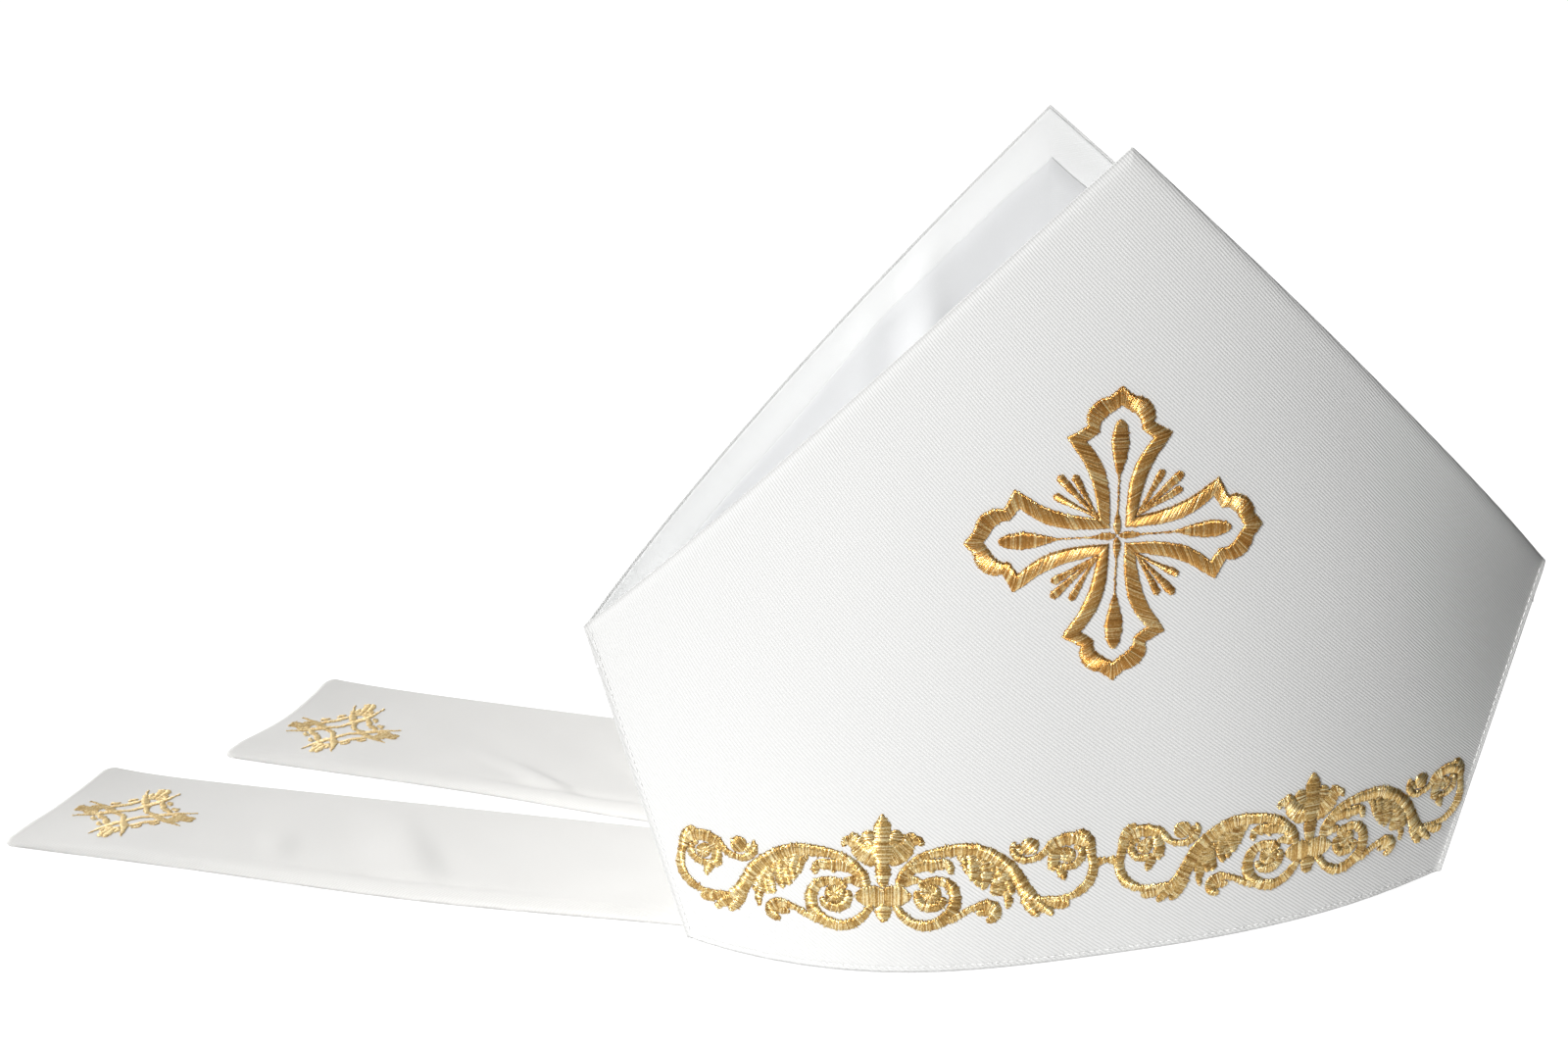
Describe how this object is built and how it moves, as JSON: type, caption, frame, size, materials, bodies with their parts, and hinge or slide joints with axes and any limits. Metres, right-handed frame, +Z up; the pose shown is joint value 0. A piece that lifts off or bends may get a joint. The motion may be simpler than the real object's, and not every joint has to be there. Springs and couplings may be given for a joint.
{
  "type": "bishop mitre",
  "caption": "Tall folding ceremonial hat: two stiff pointed satin panels joined at the sides, soft lining between the points, gold embroidery, two lappets laid flat.",
  "frame": {"origin": "bottom centre of the whole part's box, on the surface that it rests on", "axes": "+Z up, the front panel faces -Y, the two side corners lie along X, the lappets run towards -X and +Y"},
  "size_m": [0.5634, 0.322, 0.2861],
  "materials": {
    "panel_satin": "off-white satin with a fine diagonal weave over a stiff backing",
    "lining_cloth": "thin cool-white plain-weave lining, softly creased",
    "lappet_satin": "soft off-white satin, folded edges",
    "gold_thread": "raised satin-stitch metallic gold thread with a soft sheen"
  },
  "bodies": {
    "root": {"front_panel": "panel_satin", "back_panel": "panel_satin", "crown_lining": "lining_cloth", "lappet_left": "lappet_satin", "lappet_right": "lappet_satin", "cross_border": "gold_thread", "cross_petals": "gold_thread", "scroll_band_left": "gold_thread", "scroll_band_right": "gold_thread", "lappet_cross_left": "gold_thread", "lappet_cross_right": "gold_thread"}
  },
  "joints": []
}
